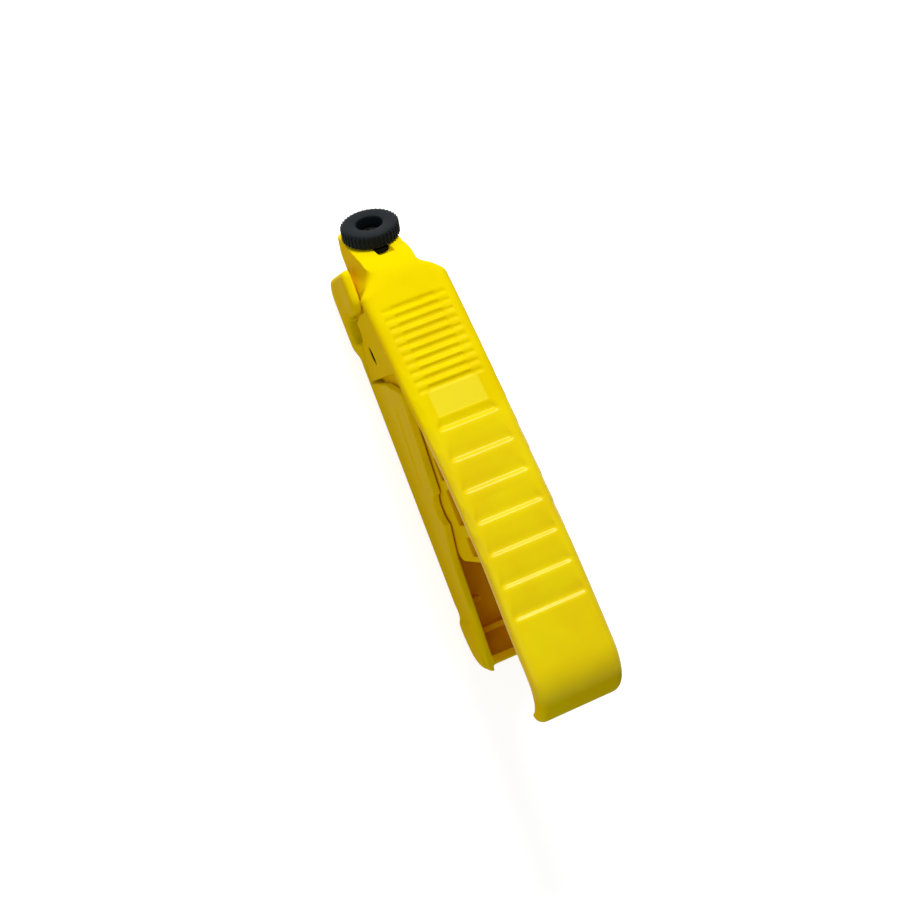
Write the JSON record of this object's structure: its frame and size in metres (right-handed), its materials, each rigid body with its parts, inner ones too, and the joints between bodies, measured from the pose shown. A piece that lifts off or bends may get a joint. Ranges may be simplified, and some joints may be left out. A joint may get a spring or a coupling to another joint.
{
  "type": "cable stripping tool",
  "caption": "Spring-closed plier-shaped cable stripper with a ribbed thumb pad, a round cable groove with a scoring blade, a slim side slot and a knurled depth knob.",
  "frame": {"origin": "centre of the round cable groove, midway between the two jaws", "axes": "+X along the tool towards the head and knob, +Y along the gripped cable, +Z from the rear arm to the front arm; the tool lies on the back of its rear arm"},
  "size_m": [0.1354, 0.0248, 0.0505],
  "materials": {
    "yellow_shell": "moulded, semi-gloss",
    "black_knob": "moulded, satin",
    "bright_steel": "zinc plated",
    "spring_steel": "drawn wire",
    "dark_steel": "black oxide",
    "blade_steel": "ground"
  },
  "bodies": {
    "base": {"rear_arm": "yellow_shell", "pivot_pin": "bright_steel", "torsion_spring": "spring_steel"},
    "lever": {"front_arm": "yellow_shell", "knob_key": "black_knob", "strip_blade": "blade_steel", "cutoff_blade": "blade_steel", "blade_clamp": "bright_steel", "blade_screws": "bright_steel"},
    "knob": {"depth_knob": "black_knob"},
    "stop": {"stop_screw": "dark_steel"}
  },
  "joints": [
    {"name": "lever_hinge", "type": "hinge", "parent": "base", "child": "lever", "pos_m": [-0.03, 0, 0.012], "axis": [0, -1, 0], "range_deg": [0, 18], "stiffness_Nm_per_rad": 0.6, "springref_deg": -34.38, "deforming": ["torsion_spring"]},
    {"name": "knob_turn", "type": "hinge", "parent": "lever", "child": "knob", "pos_m": [0.0216, 0, 0.0074], "axis": [-0.809, 0, -0.5878], "range_deg": [0, 720]},
    {"name": "stop_slide", "type": "slide", "parent": "lever", "child": "stop", "axis": [0.809, 0, 0.5878], "range_m": [0, 0.002]}
  ],
  "couplings": [
    {"joint": "knob_turn", "follows": "stop_slide", "rad_per_m": 6283.2}
  ]
}
